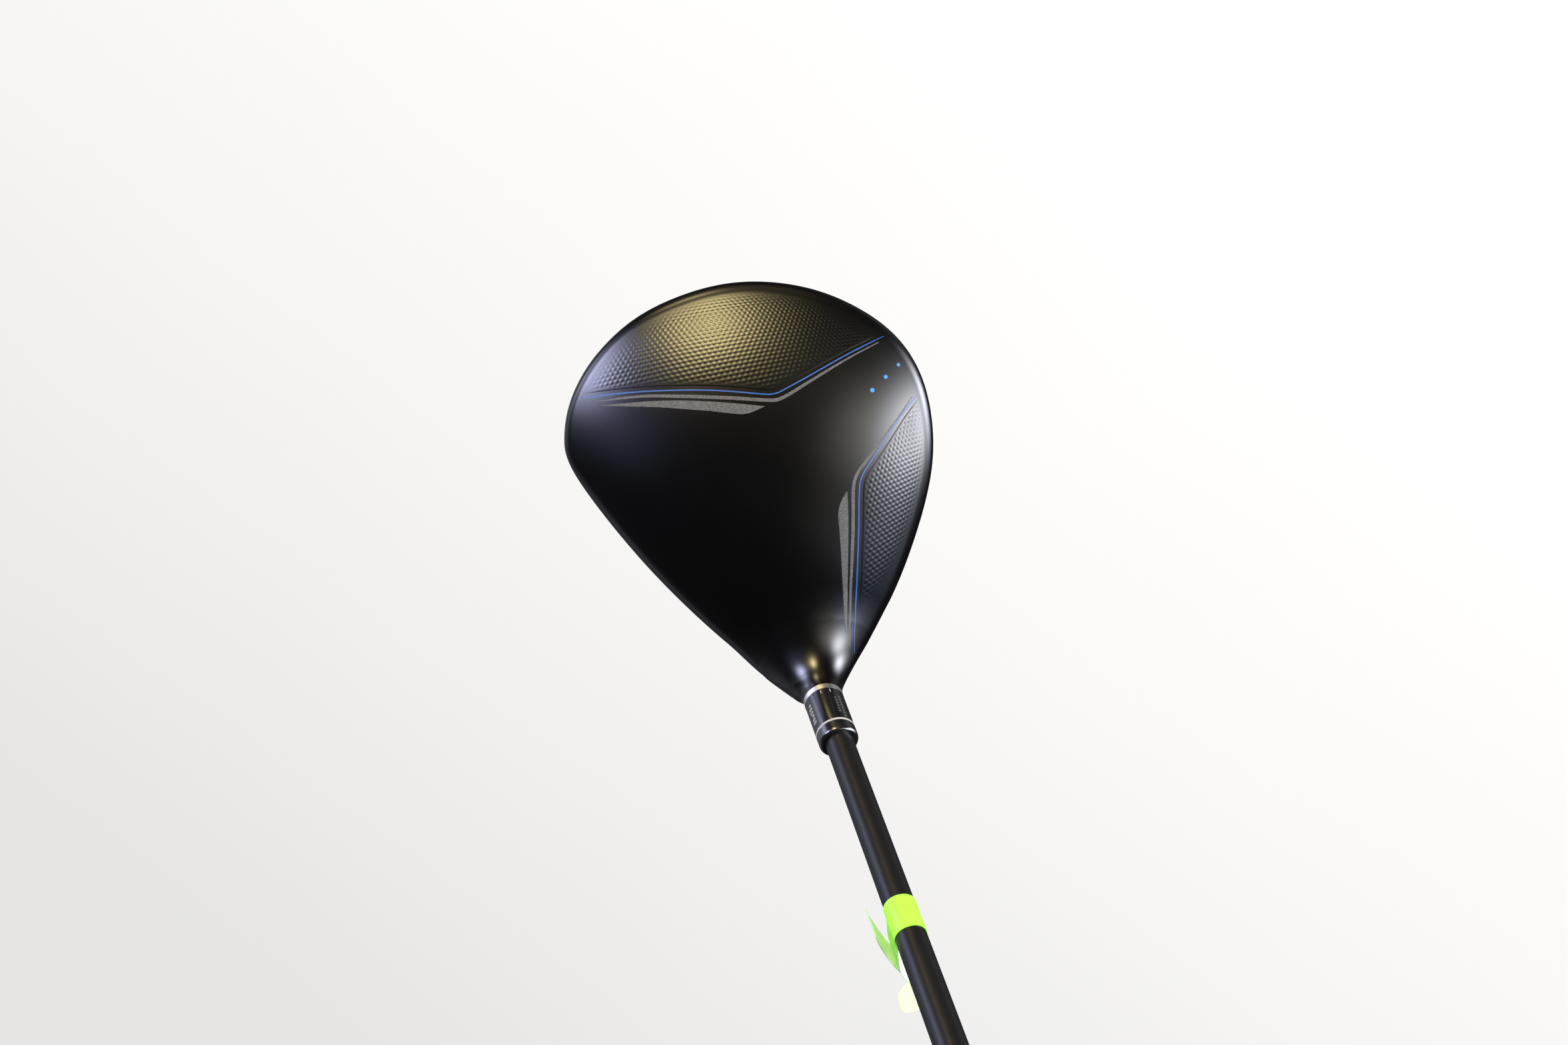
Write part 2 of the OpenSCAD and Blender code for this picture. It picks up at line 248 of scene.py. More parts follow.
def put(name, V, F, mats, body, replaces=(), N=None, which=None, sharp=38, flat=False):
    """a Blender mesh from points in mm and a list of face arrays; which gives each face array's material"""
    me = bpy.data.meshes.new(name)
    V = np.asarray(V, float) * MM
    F = [np.asarray(f, int) for f in F if len(f)]
    me.vertices.add(len(V))
    me.vertices.foreach_set("co", V.astype(np.float32).ravel())
    sizes = np.concatenate([np.full(len(f), f.shape[1]) for f in F])
    loops = np.concatenate([f.ravel() for f in F])
    me.loops.add(len(loops))
    me.loops.foreach_set("vertex_index", loops.astype(np.int32))
    me.polygons.add(len(sizes))
    starts = np.concatenate([[0], np.cumsum(sizes)[:-1]])
    me.polygons.foreach_set("loop_start", starts.astype(np.int32))
    mats = [mats] if isinstance(mats, str) else mats
    for m in mats:
        me.materials.append(MATS[m])
    if which is not None:
        me.polygons.foreach_set("material_index", np.concatenate(
            [np.full(len(f), w) if np.isscalar(w) else w for f, w in zip(F, which)]).astype(np.int32))
    me.update(calc_edges=True)
    me.polygons.foreach_set("use_smooth", np.full(len(sizes), not flat))
    if not flat:
        me.set_sharp_from_angle(angle=math.radians(sharp))
    if N is not None:
        first = np.zeros(len(loops), bool)
        first[: F[0].size] = True
        ln = np.where(first[:, None], np.nan_to_num(N[loops]), 0)
        me.normals_split_custom_set(ln.tolist())
    ob = bpy.data.objects.new(name, me)
    bpy.context.scene.collection.objects.link(ob)
    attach(ob, body)
    if replaces:
        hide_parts(*replaces)
    return ob


def turned(profile, n, place, caps=False):
    """surface of revolution: profile [(r, a)], closed loop of points"""
    pr = np.array(profile, float)
    t = np.linspace(0, 2 * np.pi, n, endpoint=False)
    P = np.stack([pr[None, :, 0] * np.cos(t)[:, None], pr[None, :, 0] * np.sin(t)[:, None],
                  np.repeat(pr[None, :, 1], n, 0)], -1).reshape(-1, 3)
    m = len(pr)
    i, k = np.meshgrid(np.arange(n), np.arange(m), indexing="ij")
    j, l = (i + 1) % n, (k + 1) % m
    Q = np.stack([i * m + k, j * m + k, j * m + l, i * m + l], -1).reshape(-1, 4)
    return place(P), Q


def on_hosel(P, a0=0.0):
    P = np.asarray(P, float)
    return G + P[..., :1] * EX + P[..., 1:2] * EY + (P[..., 2:3] + a0) * S


def on_weight(P):
    P = np.asarray(P, float)
    return W_O + P[..., :1] * np.array([1.0, 0, 0]) + P[..., 1:2] * np.array([0, -math.sqrt(3) / 2, 0.5]) + P[..., 2:3] * W_N


FY = np.array([-math.sin(OPEN) * -math.sin(LOFT) * -1, math.cos(OPEN) * math.sin(LOFT), -math.cos(LOFT)])
FY = unit(np.array([math.sin(OPEN) * math.sin(LOFT), math.cos(OPEN) * math.sin(LOFT), -math.cos(LOFT)]))
FX = np.cross(FY, FACE_N)


def face_local(P):
    d = P - FACE_C
    return d @ FX, d @ FY, d @ FACE_N


def joined(parts):
    """several (V, [F...]) as one"""
    V, F, o = [], [], 0
    for v, fs in parts:
        V.append(v)
        F += [np.asarray(f) + o for f in fs]
        o += len(v)
    return np.concatenate(V), F


def shaft_r(a):
    a = np.asarray(a, float)
    return np.where(a < 110, 4.55, 4.55 + 3.05 * (a - 110) / (1158.5 - 110))


# ------------------------------------------------------------------ materials


def material(name, base, rough=0.5, metal=0.0, coat=0.0, coat_rough=0.05, spec=0.5, emit=0.0):
    m = bpy.data.materials.new(name)
    m.use_nodes = True
    nt = m.node_tree
    b = nt.nodes["Principled BSDF"]
    b.inputs["Base Color"].default_value = (*base, 1)
    b.inputs["Roughness"].default_value = rough
    b.inputs["Metallic"].default_value = metal
    b.inputs["Coat Weight"].default_value = coat
    b.inputs["Coat Roughness"].default_value = coat_rough
    b.inputs["Specular IOR Level"].default_value = spec
    MATS[name] = m
    return m, nt, b


def coords(nt, scale=(1, 1, 1)):
    tc = nt.nodes.new("ShaderNodeTexCoord")
    mp = nt.nodes.new("ShaderNodeMapping")
    mp.inputs["Scale"].default_value = scale
    nt.links.new(tc.outputs["Object"], mp.inputs["Vector"])
    return mp.outputs["Vector"]


def noise(nt, vec, scale, detail=2.0, rough=0.5):
    n = nt.nodes.new("ShaderNodeTexNoise")
    n.inputs["Scale"].default_value = scale
    n.inputs["Detail"].default_value = detail
    n.inputs["Roughness"].default_value = rough
    nt.links.new(vec, n.inputs["Vector"])
    return n.outputs["Fac"]


def ramp(nt, fac, stops):
    r = nt.nodes.new("ShaderNodeValToRGB")
    el = r.color_ramp.elements
    while len(el) > 1:
        el.remove(el[-1])
    el[0].position, el[0].color = stops[0][0], (*stops[0][1], 1)
    for p, c in stops[1:]:
        e = el.new(p)
        e.color = (*c, 1)
    nt.links.new(fac, r.inputs["Fac"])
    return r.outputs["Color"]


def bump(nt, b, height, strength, distance):
    n = nt.nodes.new("ShaderNodeBump")
    n.inputs["Strength"].default_value = strength
    n.inputs["Distance"].default_value = distance
    nt.links.new(height, n.inputs["Height"])
    nt.links.new(n.outputs["Normal"], b.inputs["Normal"])


def vary(nt, b, fac, lo, hi, socket="Roughness"):
    r = nt.nodes.new("ShaderNodeMapRange")
    r.inputs["To Min"].default_value = lo
    r.inputs["To Max"].default_value = hi
    nt.links.new(fac, r.inputs["Value"])
    nt.links.new(r.outputs["Result"], b.inputs[socket])


def black_paint(name, base, rough, grain):
    m, nt, b = material(name, base, rough, spec=0.5)
    vec = coords(nt)
    fine = noise(nt, vec, 3500, 2)
    nt.links.new(ramp(nt, noise(nt, vec, 1800, 3), [(0.3, tuple(0.8 * c for c in base)), (0.75, tuple(1.3 * c for c in base))]),
                 b.inputs["Base Color"])
    vary(nt, b, noise(nt, vec, 60, 3), rough - 0.02, rough + 0.03)
    bump(nt, b, fine, grain, 0.0001)


black_paint("crown_black", (0.0010, 0.0010, 0.0011), 0.22, 0.05)
black_paint("body_black", (0.0012, 0.0012, 0.0013), 0.22, 0.05)
black_paint("panel_black", (0.0012, 0.0012, 0.0013), 0.23, 0.05)

for nm, c0, c1, r0, me_ in (("line_blue", (0.010, 0.07, 0.26), (0.013, 0.09, 0.32), 0.4, 0.0),
                            ("dot_blue", (0.02, 0.20, 0.60), (0.03, 0.24, 0.72), 0.4, 0.0)):
    m, nt, b = material(nm, c0, r0, me_)
    nt.links.new(ramp(nt, noise(nt, coords(nt), 900, 2), [(0.35, c0), (0.7, c1)]), b.inputs["Base Color"])

m, nt, b = material("speckle_grey", (0.12, 0.12, 0.12), 0.5, 0.0)
vec = coords(nt)
nt.links.new(ramp(nt, noise(nt, vec, 2600, 3, 0.7), [(0.36, (0.028, 0.028, 0.028)), (0.50, (0.062, 0.062, 0.062)), (0.62, (0.125, 0.125, 0.125))]),
             b.inputs["Base Color"])
bump(nt, b, noise(nt, vec, 2600, 3, 0.7), 0.35, 0.0001)

m, nt, b = material("seam_dark", (0.004, 0.004, 0.004), 0.7)
vary(nt, b, noise(nt, coords(nt), 500), 0.6, 0.8)

m, nt, b = material("face_metal", (0.26, 0.26, 0.27), 0.38, 1.0)
vec = coords(nt, (30, 1, 1))
vary(nt, b, noise(nt, coords(nt, (0.05, 1, 1)), 2600, 3), 0.28, 0.48)
bump(nt, b, noise(nt, coords(nt, (0.05, 1, 1)), 3000, 3), 0.12, 0.00005)

m, nt, b = material("score_paint", (0.62, 0.62, 0.6), 0.6)
nt.links.new(ramp(nt, noise(nt, coords(nt), 1200, 2), [(0.3, (0.5, 0.5, 0.49)), (0.7, (0.7, 0.7, 0.68))]), b.inputs["Base Color"])

m, nt, b = material("ring_steel", (0.80, 0.79, 0.77), 0.36, 1.0)
vary(nt, b, noise(nt, coords(nt), 1500, 2), 0.32, 0.42)
bump(nt, b, noise(nt, coords(nt), 4000, 2), 0.05, 0.00002)

m, nt, b = material("gloss_black", (0.006, 0.006, 0.007), 0.12, 0.0, coat=0.55, coat_rough=0.04)
vary(nt, b, noise(nt, coords(nt), 300, 2), 0.10, 0.16)

m, nt, b = material("ferrule_black", (0.006, 0.006, 0.007), 0.14, 0.0, coat=1.0, coat_rough=0.05)
vary(nt, b, noise(nt, coords(nt), 300, 2), 0.12, 0.2)

for nm, c in (("mark_white", 0.22), ("mark_grey", 0.05), ("ring_white", 0.36)):
    m, nt, b = material(nm, (c, c, c), 0.4)
    nt.links.new(ramp(nt, noise(nt, coords(nt), 2000, 2), [(0.3, (0.85 * c, 0.85 * c, 0.84 * c)), (0.7, (1.1 * c, 1.1 * c, 1.09 * c))]),
                 b.inputs["Base Color"])

m, nt, b = material("shaft_paint", (0.014, 0.014, 0.016), 0.36, 0.0, spec=0.32)
vec = coords(nt)
nt.links.new(ramp(nt, noise(nt, vec, 2500, 3), [(0.3, (0.004, 0.004, 0.005)), (0.72, (0.007, 0.007, 0.008))]), b.inputs["Base Color"])
bump(nt, b, noise(nt, vec, 2500, 2), 0.10, 0.00005)

m, nt, b = material("neon_film", (0.27, 0.92, 0.04), 0.42)
nt.links.new(ramp(nt, noise(nt, coords(nt), 500, 2), [(0.3, (0.25, 0.88, 0.035)), (0.7, (0.29, 0.96, 0.045))]), b.inputs["Base Color"])
# painted glow: the neon film gives out light of its own (strength 0.30), though it is no lamp
b.inputs["Emission Color"].default_value = (0.30, 0.9, 0.02, 1)
b.inputs["Emission Strength"].default_value = 0.30

for nm, c0, c1 in (("neon_back", (0.60, 0.66, 0.50), (0.66, 0.70, 0.56)), ("neon_pale", (0.40, 0.80, 0.22), (0.46, 0.86, 0.28)),
                   ("tape_edge", (0.20, 0.36, 0.12), (0.24, 0.40, 0.14)), ("tape_paper", (0.86, 0.92, 0.50), (0.90, 0.95, 0.56))):
    m, nt, b = material(nm, c0, 0.55)
    nt.links.new(ramp(nt, noise(nt, coords(nt), 500, 2), [(0.3, c0), (0.7, c1)]), b.inputs["Base Color"])
    # painted glow: the back of the tape and its edges give out a pale green light of their own, so they look pale
    # however light falls on them
    if nm in ("neon_back", "tape_edge"):
        b.inputs["Emission Color"].default_value = (0.23, 0.41, 0.17, 1)
        b.inputs["Emission Strength"].default_value = 0.55

m, nt, b = material("grip_rubber", (0.018, 0.018, 0.019), 0.72)
vec = coords(nt)
vary(nt, b, noise(nt, vec, 700, 3), 0.62, 0.82)
bump(nt, b, noise(nt, vec, 2200, 3), 0.35, 0.0002)

m, nt, b = material("grip_paint", (0.55, 0.55, 0.55), 0.55)
vary(nt, b, noise(nt, coords(nt), 700, 3), 0.5, 0.65)

for nm, col, ro, me_ in (("tape_cloth", (0.62, 0.6, 0.52), 0.8, 0.0), ("brass", (0.72, 0.52, 0.25), 0.3, 1.0),
                         ("slot_rubber", (0.05, 0.05, 0.055), 0.6, 0.0), ("hot_melt", (0.78, 0.66, 0.38), 0.5, 0.0),
                         ("washer_steel", (0.6, 0.6, 0.6), 0.3, 1.0), ("nylon", (0.12, 0.12, 0.12), 0.5, 0.0),
                         ("screw_steel", (0.16, 0.16, 0.17), 0.35, 1.0), ("o_ring", (0.015, 0.015, 0.015), 0.55, 0.0),
                         ("weight_steel", (0.5, 0.5, 0.51), 0.28, 1.0), ("sole_grey", (0.16, 0.16, 0.17), 0.45, 0.6)):
    m, nt, b = material(nm, col, ro, me_)
    vary(nt, b, noise(nt, coords(nt), 900, 3), max(ro - 0.07, 0.05), ro + 0.07)

# ------------------------------------------------------------------ head: body and crown

H = 0.95
P0, Q0 = nets(field, (-76, -64, -2), (70, 56, 74), H)
P0 = settle(P0, n=5)
T0 = tris_of(P0, Q0)


def seam_curve(n=180):
    ph = np.arange(n) * 360.0 / n
    c, s = np.cos(np.radians(ph)), np.sin(np.radians(ph))
    lo, hi = np.full(n, 20.0), np.full(n, 90.0)
    for _ in range(24):
        m = (lo + hi) / 2
        x, y = CX + m * c, CY + m * s
        out = plain_field(np.stack([x, y, rim_z(x, y) + 1], -1)) > 0
        hi, lo = np.where(out, m, hi), np.where(out, lo, m)
    x, y = CX + lo * c, CY + lo * s
    s0 = np.stack([x, y, rim_z(x, y) + 1], -1)
    w = (0.26 * np.exp(-(((ph - 145) / 24) ** 2)))[:, None]
    d = unit(s0 * (1 - w) + np.array([2.0, -2, 80]) * w - CORE)
    lo, hi = np.zeros(n), np.full(n, 110.0)
    for _ in range(26):
        m = (lo + hi) / 2
        out = field(CORE + d * m[:, None]) > 0
        hi, lo = np.where(out, m, hi), np.where(out, lo, m)
    return CORE + d * lo[:, None]


SEAM = seam_curve()
_az = np.degrees(np.arctan2(SEAM[:, 1] + 2, SEAM[:, 0] - 2)) % 360
_o = np.argsort(_az)
_az = np.concatenate([_az[_o][-3:] - 360, _az[_o], _az[_o][:3] + 360])
_z = SEAM[_o][:, 2]
_r = np.hypot(SEAM[_o][:, 0] - 2, SEAM[_o][:, 1] + 2)
_z, _r = (np.concatenate([q[-3:], q, q[:3]]) for q in (_z, _r))


def seam_g(P):
    """positive on the crown's side of the seam, in about mm"""
    az = np.degrees(np.arctan2(P[..., 1] + 2, P[..., 0] - 2)) % 360
    t = np.clip((np.abs(az - 148) - 24) / 20, 0, 1)
    w = 1 - t * t * (3 - 2 * t)
    g = (1 - w) * (P[..., 2] - np.interp(az, _az, _z)) + w * 0.7 * (
        np.interp(az, _az, _r) - np.hypot(P[..., 0] - 2, P[..., 1] + 2))
    return np.where(P[..., 2] < 25, -10.0, g)


near = 0.3 * H
P1, T1 = clip(P0, T0, lambda P: RIM_A - axis_parts(P)[0], near)
PC, TC = clip(P1, T1, seam_g, near)
PB, TB = clip(P1, T1, lambda P: -seam_g(P), near)


def face_g(P):
    x, y, z = face_local(P)
    X = (x - 3) / 42
    Y = (y - 1) / (20.5 + 1.6 * np.clip(X, -1.3, 1.3))
    g = ((np.abs(X) ** 2.5 + np.abs(Y) ** 2.5) ** 0.4 - 1) * 20.5
    return np.maximum(g, 30 - P[..., 1])


def slot_g(P):
    d = np.hypot(np.maximum(np.abs(P[..., 0] - 9) - 18.5, 0), P[..., 1] - 28) - 2.5
    return np.maximum(d, P[..., 2] - 12)


def port_g(P):
    a, rad = axis_parts(P)
    return np.maximum(rad - 5.6, a - 26)


def weight_parts(P):
    d = P - W_O
    t = d @ W_N
    return t, np.sqrt(np.maximum((d**2).sum(-1) - t * t, 0))


def weight_g(P):
    t, rad = weight_parts(P)
    return np.maximum(rad - 8.0, -6 - t)


for g in (face_g, slot_g, port_g, weight_g):
    PB, TB = clip(PB, TB, g, near * 0.8)

NC, NB = unit(slope(field, PC)), unit(slope(field, PB))
a_, r_ = axis_parts(PB)
thick = np.where(r_ < 13, np.clip(1.6 - (a_ - 58) / 8, 0.5, 1.6), 1.6)[:, None]
VB, FB, NBB = thicken(PB, TB, NB, PB - NB * thick)

# hosel liner with its twelve grooves, down to the web that the screw pulls on
prof, n = [], 144


def liner():
    t = np.linspace(0, 2 * np.pi, 288, endpoint=False)
    k = np.abs((np.degrees(t) + 15) % 30 - 15)
    groove = k < 8.0
    rows = []
    for a, r, cut in ((40.5, 6.2, 0), (77.96, 6.2, 0), (78.0, 6.16, 0), (78.0, 5.35, 1), (77.9, 5.25, 1), (69.8, 5.25, 1),
                      (69.79, 5.25, 0), (38.0, 5.25, 0), (37.99, 2.9, 0), (34.2, 2.9, 0), (34.2, 6.2, 0)):
        rr = np.where(groove, 5.8, r) if cut else np.full_like(t, r)
        rows.append(np.stack([rr * np.cos(t), rr * np.sin(t), np.full_like(t, a)], -1))
    R = np.stack(rows, 1)
    n, m = R.shape[:2]
    i, k = np.meshgrid(np.arange(n), np.arange(m), indexing="ij")
    j, l = (i + 1) % n, (k + 1) % m
    Q = np.stack([i * m + k, i * m + l, j * m + l, j * m + k], -1).reshape(-1, 4)
    return on_hosel(R.reshape(-1, 3)), [Q[:, ::-1]]


def start_of(place, r, n, lo, hi, level):
    """along an axis, per angle, where the skin is level mm away; lo is outside the skin"""
    t = np.linspace(0, 2 * np.pi, n, endpoint=False)
    lo, hi = np.full(n, float(lo)), np.full(n, float(hi))
    for _ in range(26):
        m = (lo + hi) / 2
        out = field(place(np.stack([r * np.cos(t), r * np.sin(t), m], -1))) > level
        lo, hi = np.where(out, m, lo), np.where(out, hi, m)
    return t, hi


def port_tube(n=120):
    t, a0 = start_of(on_hosel, 5.6, n, -12, 24, -0.5)
    _, a1 = start_of(on_hosel, 7.3, n, -14, 24, -0.7)
    rows = [np.stack([r * np.cos(t), r * np.sin(t), a if not np.isscalar(a) else np.full(n, float(a))], -1)
            for r, a in ((5.6, a0), (5.6, 34.0), (2.9, 34.0), (2.9, 36.0), (7.3, 36.0), (7.3, a1))]
    R = np.stack(rows, 1)
    m = R.shape[1]
    i, k = np.meshgrid(np.arange(n), np.arange(m), indexing="ij")
    j, l = (i + 1) % n, (k + 1) % m
    Q = np.stack([i * m + k, i * m + l, j * m + l, j * m + k], -1).reshape(-1, 4)
    return on_hosel(R.reshape(-1, 3)), [Q]


def weight_cup():
    V, Q = turned([(8.0, -0.6), (8.0, -3.2), (6.0, -3.2), (6.0, -9.8), (0.01, -9.8), (0.01, -11.0), (9.6, -11.0), (9.6, -1.2)], 120, on_weight)
    return V, [Q]


def sole_disc():
    V, Q = turned([(0.01, 0.0), (11.8, 0.0), (12.0, 0.2), (12.0, 1.6), (0.01, 1.6)], 96, lambda P: P)
    return V, [Q]


parts = [liner(), port_tube(), weight_cup(), sole_disc()]
V2, F2 = joined([(VB, FB), *parts])
body = put("head_shell", V2, F2, "body_black", "head", ["head_body"],
           N=np.concatenate([NBB, np.full((len(V2) - len(NBB), 3), np.nan)]))

VC, FC, NCC = thicken(PC, TC, NC, PC - NC * 0.95)
put("crown_shell", VC, FC, "crown_black", "head", ["crown"], N=NCC)

# ------------------------------------------------------------------ the crown's textured panels and painted lines

EYE = np.array([2.0, -4.0, -30.0])


def crown_at(uv):
    """crown point for plan coordinates on the plane z = 50, fanned out from a point under the head"""
    uv = np.asarray(uv, float)
    d = unit(np.concatenate([uv, np.full(uv.shape[:-1] + (1,), 50.0)], -1) - EYE)
    lo, hi = np.full(uv.shape[:-1], 45.0), np.full(uv.shape[:-1], 150.0)
    for _ in range(24):
        m = (lo + hi) / 2
        out = field(EYE + d * m[..., None]) > 0
        hi, lo = np.where(out, m, hi), np.where(out, lo, m)
    return EYE + d * lo[..., None]


def smooth_line(pts, step=0.6):
    """Catmull-Rom line through control points, at even steps"""
    p = np.array(pts, float)
    p = np.concatenate([[2 * p[0] - p[1]], p, [2 * p[-1] - p[-2]]])
    out = []
    for i in range(1, len(p) - 2):
        a, b, c, d = p[i - 1: i + 3]
        ta, tb, tc = (max(np.linalg.norm(q), 1e-6) ** 0.5 for q in (b - a, c - b, d - c))
        m1 = (c - b) + tb * ((b - a) / ta - (c - a) / (ta + tb))
        m2 = (c - b) + tb * ((d - c) / tc - (d - b) / (tb + tc))
        t = np.linspace(0, 1, 24, endpoint=False)[:, None]
        out.append((2 * t**3 - 3 * t**2 + 1) * b + (t**3 - 2 * t**2 + t) * m1 + (3 * t**2 - 2 * t**3) * c + (t**3 - t**2) * m2)
    q = np.concatenate([*out, p[-2:-1]])
    s = np.concatenate([[0], np.cumsum(np.linalg.norm(np.diff(q, axis=0), axis=1))])
    n = max(int(s[-1] / step), 8)
    u = np.linspace(0, s[-1], n + 1)
    return np.stack([np.interp(u, s, q[:, k]) for k in range(q.shape[1])], 1)


def film(rows, top=0.035, under=0.3):
    """closed thin film on the crown from a grid of surface points [i, j]"""
    n, m = rows.shape[:2]
    P = settle(rows.reshape(-1, 3), n=4)
    N = unit(slope(field, P))
    V = np.concatenate([P + N * top, P - N * under])
    o = n * m
    i, j = np.meshgrid(np.arange(n - 1), np.arange(m - 1), indexing="ij")
    a = (i * m + j).ravel()
    T = np.stack([a, a + 1, a + m + 1, a + m], 1)
    flipped = np.cross(P[a[0] + 1] - P[a[0]], P[a[0] + m] - P[a[0]]) @ N[a[0]] < 0
    mid = len(a) // 2
    flipped = np.cross(P[a[mid] + 1] - P[a[mid]], P[a[mid] + m] - P[a[mid]]) @ N[a[mid]] < 0
    if flipped:
        T = T[:, ::-1]
    E = []
    have = {(int(x), int(y)) for q in T for x, y in zip(q, np.roll(q, -1))}
    E = np.array([e for e in have if (e[1], e[0]) not in have])
    sides = np.stack([E[:, 1], E[:, 0], E[:, 0] + o, E[:, 1] + o], 1)
    return V, [T, T[:, ::-1] + o, sides], np.concatenate([N, np.full_like(N, np.nan)])


def ribbon(pts, widths, cols=3, step=0.6):
    """widths are (share of the length, mm)"""
    c = crown_at(smooth_line(pts, step))
    s = np.concatenate([[0], np.cumsum(np.linalg.norm(np.diff(c, axis=0), axis=1))])
    s /= s[-1]
    w = np.interp(s, [q[0] for q in widths], [q[1] for q in widths])
    t = unit(np.gradient(c, axis=0))
    side = unit(np.cross(unit(slope(field, c)), t))
    k = np.linspace(-0.5, 0.5, cols)
    return c[:, None] + side[:, None] * (k[None, :] * w[:, None])[..., None]


def between(a, b, cols=7, n=90):
    """surface ruled between two lines that meet at both ends"""
    A, B = (smooth_line(q, 0.1) for q in (a, b))
    f = lambda q: np.stack([np.interp(np.linspace(0, 1, n), np.linspace(0, 1, len(q)), q[:, k]) for k in (0, 1)], 1)
    A, B = f(A), f(B)
    k = np.linspace(0, 1, cols)[None, :, None]
    return crown_at(A[:, None] * (1 - k) + B[:, None] * k)


BLUE_T = [(59.8, 20.3), (53.0, 11.5), (46.1, 3.0), (40.9, -2.9), (35.9, -8.4), (30.8, -13.6), (25.3, -18.7), (20.6, -22.9),
          (18.4, -25.1), (17.2, -27.2), (16.6, -29.6), (14.7, -38.1), (11.0, -56.6), (6.2, -77.5)]
BLUE_H = [(-20.6, -69.1), (-19.7, -55.5), (-20.0, -43.9), (-20.3, -35.3), (-20.7, -28.9), (-21.7, -25.4), (-24.6, -21.6),
          (-30.9, -14.7), (-37.2, -7.6), (-43.7, -0.4), (-49.9, 6.7), (-54.9, 12.4), (-57.6, 15.3)]
GREY_T = [(56.2, 18.7), (45.1, 4.2), (38.1, -3.2), (31.2, -10.1), (24.3, -16.8), (17.8, -22.9), (15.8, -25.2), (14.8, -27.9),
          (13.2, -36.5), (9.8, -55.1), (5.9, -72.6)]
GREY_H = [(-19.1, -65.2), (-19.0, -51.8), (-18.9, -41.5), (-18.9, -32.2), (-19.1, -26.8), (-20.4, -23.4), (-26.1, -16.9),
          (-30.8, -11.8), (-35.5, -6.5), (-41.8, 0.6), (-48.1, 7.4), (-51.8, 11.8), (-53.8, 14.0)]
WEDGE_T = ([(52.8, 16.6), (46.7, 9.0), (41.6, 2.8), (36.6, -2.8), (31.4, -8.0), (26.1, -13.0), (16.7, -21.2)],
           [(52.8, 16.6), (45.8, 9.6), (38.3, 2.1), (32.8, -2.9), (27.4, -7.8), (21.9, -12.4), (19.8, -14.3), (18.4, -16.3), (16.7, -21.2)])
WEDGE_H = ([(-20.1, -20.3), (-24.8, -15.8), (-29.4, -11.0), (-37.4, -2.4), (-44.1, 4.6), (-50.6, 12.1)],
           [(-20.1, -20.3), (-20.6, -17.0), (-21.6, -14.6), (-23.3, -12.5), (-26.1, -10.1), (-30.5, -6.1), (-35.6, -1.4), (-42.8, 5.2),
            (-47.8, 9.8), (-50.6, 12.1)])

for nm, pts, wid, mat in (
        ("line_toe", BLUE_T, [(0, 0.15), (0.05, 0.44), (0.93, 0.40), (1, 0.15)], "line_blue"),
        ("line_heel", BLUE_H, [(0, 0.2), (0.04, 0.42), (0.8, 0.42), (1, 0.14)], "line_blue"),
        ("band_toe", GREY_T, [(0, 0.15), (0.12, 0.75), (0.3, 1.1), (0.62, 1.1), (0.8, 0.75), (1, 0.3)], "speckle_grey"),
        ("band_heel", GREY_H, [(0, 0.3), (0.2, 0.8), (0.4, 1.1), (0.62, 1.15), (0.85, 0.7), (1, 0.3)], "speckle_grey")):
    V, F, N = film(ribbon(pts, wid))
    put(nm, V, F, mat, "head", N=N)
for nm, (a, b_) in (("wedge_toe", WEDGE_T), ("wedge_heel", WEDGE_H)):
    V, F, N = film(between(a, b_))
    put(nm, V, F, "speckle_grey", "head", N=N)
for i, ((u, v), r) in enumerate((((-6.3, -71.4), 0.54), ((-5.4, -61.8), 0.63), ((-4.7, -52.8), 0.70))):
    c = crown_at(np.array([[u, v]]))[0]
    n_ = unit(slope(field, c[None]))[0]
    ex = unit(np.cross(EY, n_))
    ey = np.cross(n_, ex)
    t = np.linspace(0, 2 * np.pi, 49)
    k = np.array([0.02, 0.5, 1.0])[None, :]
    rows = c + (r * k * np.cos(t)[:, None])[..., None] * ex + (r * k * np.sin(t)[:, None])[..., None] * ey
    V, F, N = film(rows)
    put("dot_%d" % (i + 1), V, F, "dot_blue", "head", N=N)


def side_of(line, uv):
    """signed distance in plan from a line, positive on its left"""
    best, sign = np.full(len(uv), 1e9), np.ones(len(uv))
    for a, b in zip(line[:-1], line[1:]):
        d = b - a
        t = np.clip(((uv - a) @ d) / (d @ d), 0, 1)
        q = uv - a - t[:, None] * d
        r = np.hypot(q[:, 0], q[:, 1])
        m = r < best
        best[m] = r[m]
        sign[m] = np.sign(d[0] * q[m, 1] - d[1] * q[m, 0])
    return best * sign


def extended(pts, before, after):
    q = smooth_line(pts, 1.2)
    return np.concatenate([[q[0] + unit(q[0] - q[1]) * before], q, [q[-1] + unit(q[-1] - q[-2]) * after]])


PITCH = 1.82
GRID = 6


